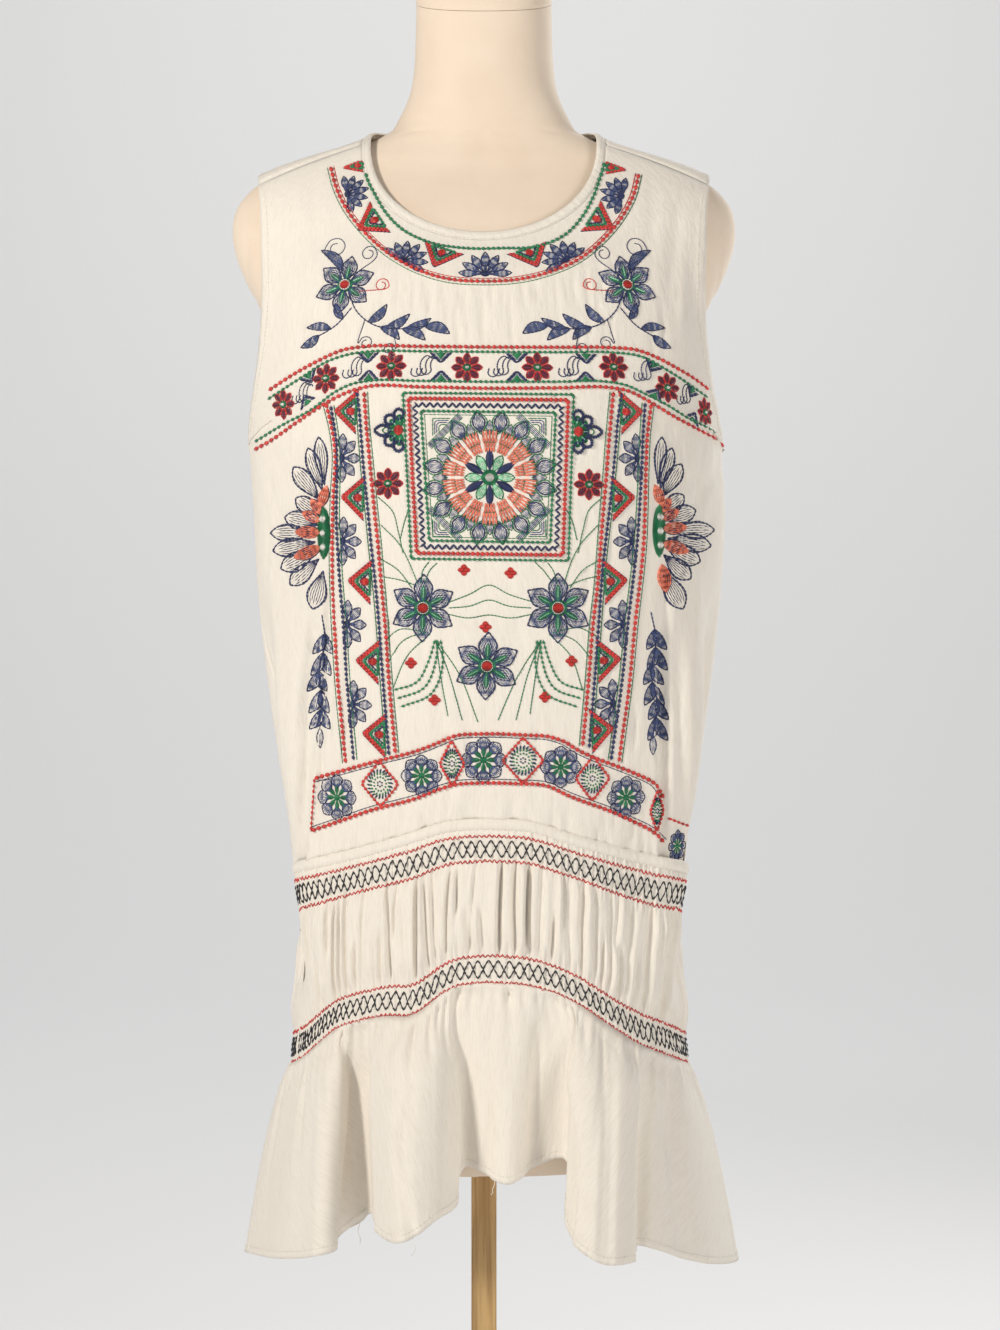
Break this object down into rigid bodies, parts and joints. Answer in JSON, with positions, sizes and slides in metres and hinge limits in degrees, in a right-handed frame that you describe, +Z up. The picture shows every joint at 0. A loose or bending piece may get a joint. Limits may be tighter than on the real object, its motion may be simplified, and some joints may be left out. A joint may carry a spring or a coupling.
{
  "type": "mini dress on a dress form",
  "caption": "Sleeveless white cotton mini dress with embroidered front, shirred hip tier and arched ruffle hem, worn on a limbless dress form with a square wooden pole and a round base.",
  "frame": {"origin": "centre of the base's underside, on the floor", "axes": "+Z up along the pole, the dress's front faces -Y, +X is the wearer's left"},
  "size_m": [0.4057, 0.354, 1.5375],
  "materials": {
    "cotton": "fine plain weave, matt, ivory white",
    "jersey": "smooth cream jersey stretched over the form",
    "pole_wood": "light pine, satin",
    "base_wood": "light pine, satin"
  },
  "bodies": {
    "root": {"bodice_front": "cotton", "bodice_back": "cotton", "neck_binding": "cotton", "casing_front": "cotton", "casing_back": "cotton", "tier_front": "cotton", "tier_back": "cotton", "ruffle_front": "cotton", "ruffle_back": "cotton", "form_body": "jersey", "neck_cap": "jersey", "pole": "pole_wood", "base": "base_wood"}
  },
  "joints": []
}
